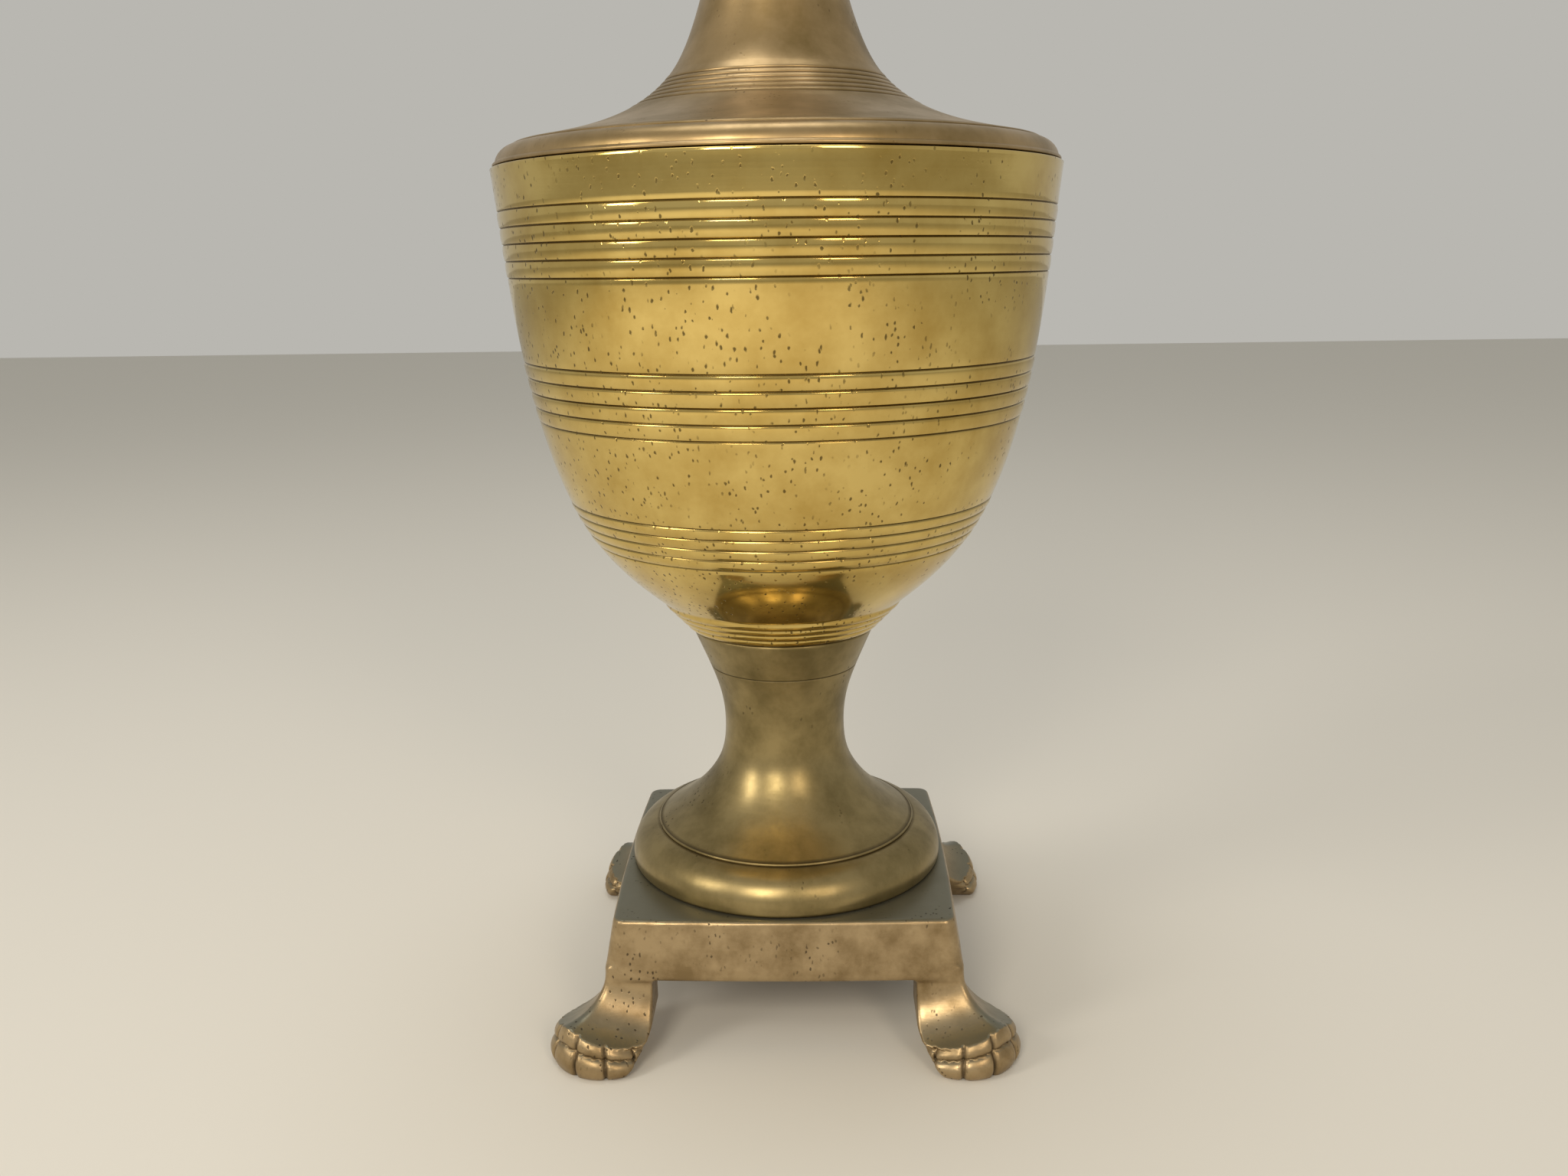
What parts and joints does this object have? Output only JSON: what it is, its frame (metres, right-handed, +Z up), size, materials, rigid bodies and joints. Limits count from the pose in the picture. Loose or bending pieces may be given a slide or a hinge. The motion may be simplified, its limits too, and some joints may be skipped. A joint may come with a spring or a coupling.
{
  "type": "urn table lamp",
  "caption": "Brass urn table lamp base: footed square plinth, turned pedestal, grooved urn, trumpet neck, lampholder with turn switch, removable harp and finial.",
  "frame": {"origin": "on the floor under the middle of the plinth, on the lamp's centre line", "axes": "+Z up along the centre rod; -Y is the front, where the switch knob points; +X is the viewer's right, and the harp stands in the XZ plane"},
  "size_m": [0.1996, 0.1996, 0.723],
  "materials": {
    "cast_brass": "sand-cast brass, file-brushed and aged brown",
    "turned_brass": "turned brass, satin with fine lathe rings and olive tarnish",
    "polished_brass": "spun brass, polished long ago and speckled with tarnish",
    "satin_brass": "spun and turned brass, soft brown satin",
    "harp_brass": "brass-plated steel wire",
    "socket_brass": "thin drawn brass, lightly tarnished",
    "terminal_brass": "small turned and stamped brass",
    "zinc_steel": "zinc-plated steel, dull",
    "aluminium_shell": "thin drawn aluminium",
    "black_plastic": "moulded phenolic",
    "black_knob": "moulded phenolic, polished",
    "fibre_liner": "vulcanised fibre sheet"
  },
  "bodies": {
    "body": {"plinth": "cast_brass", "base_ring": "turned_brass", "pedestal": "turned_brass", "urn_body": "polished_brass", "shoulder_ring": "satin_brass", "neck": "satin_brass", "neck_collar": "satin_brass", "vase_cap": "satin_brass", "center_rod": "zinc_steel", "strongback": "zinc_steel", "lock_washer": "zinc_steel", "rod_nut": "zinc_steel", "cord_bushing": "black_plastic", "centring_disc": "zinc_steel", "urn_washer": "zinc_steel", "urn_nut": "zinc_steel", "top_nut": "zinc_steel", "socket_cap": "socket_brass", "socket_set_screw": "zinc_steel", "socket_shell": "socket_brass", "socket_liner": "fibre_liner", "switch_block": "black_plastic", "terminal_screws": "terminal_brass", "screw_shell": "aluminium_shell", "centre_contact": "terminal_brass", "harp_saddle": "harp_brass"},
    "knob": {"switch_knob": "black_knob"},
    "harp": {"harp": "harp_brass", "harp_stud": "harp_brass"},
    "ferrule_left": {"harp_ferrule_left": "harp_brass"},
    "ferrule_right": {"harp_ferrule_right": "harp_brass"},
    "finial": {"finial": "satin_brass"}
  },
  "joints": [
    {"name": "switch_turn", "type": "hinge", "parent": "body", "child": "knob", "pos_m": [0, -0.02, 0.48248], "axis": [0, -1, 0], "continuous": true},
    {"name": "harp_lift", "type": "slide", "parent": "body", "child": "harp", "axis": [0, 0, 1], "range_m": [0, 0.06]},
    {"name": "ferrule_left_slide", "type": "slide", "parent": "harp", "child": "ferrule_left", "axis": [0, 0, 1], "range_m": [0, 0.012]},
    {"name": "ferrule_right_slide", "type": "slide", "parent": "harp", "child": "ferrule_right", "axis": [0, 0, 1], "range_m": [0, 0.012]},
    {"name": "finial_lift", "type": "slide", "parent": "harp", "child": "finial", "axis": [0, 0, 1], "range_m": [0, 0.03]}
  ]
}
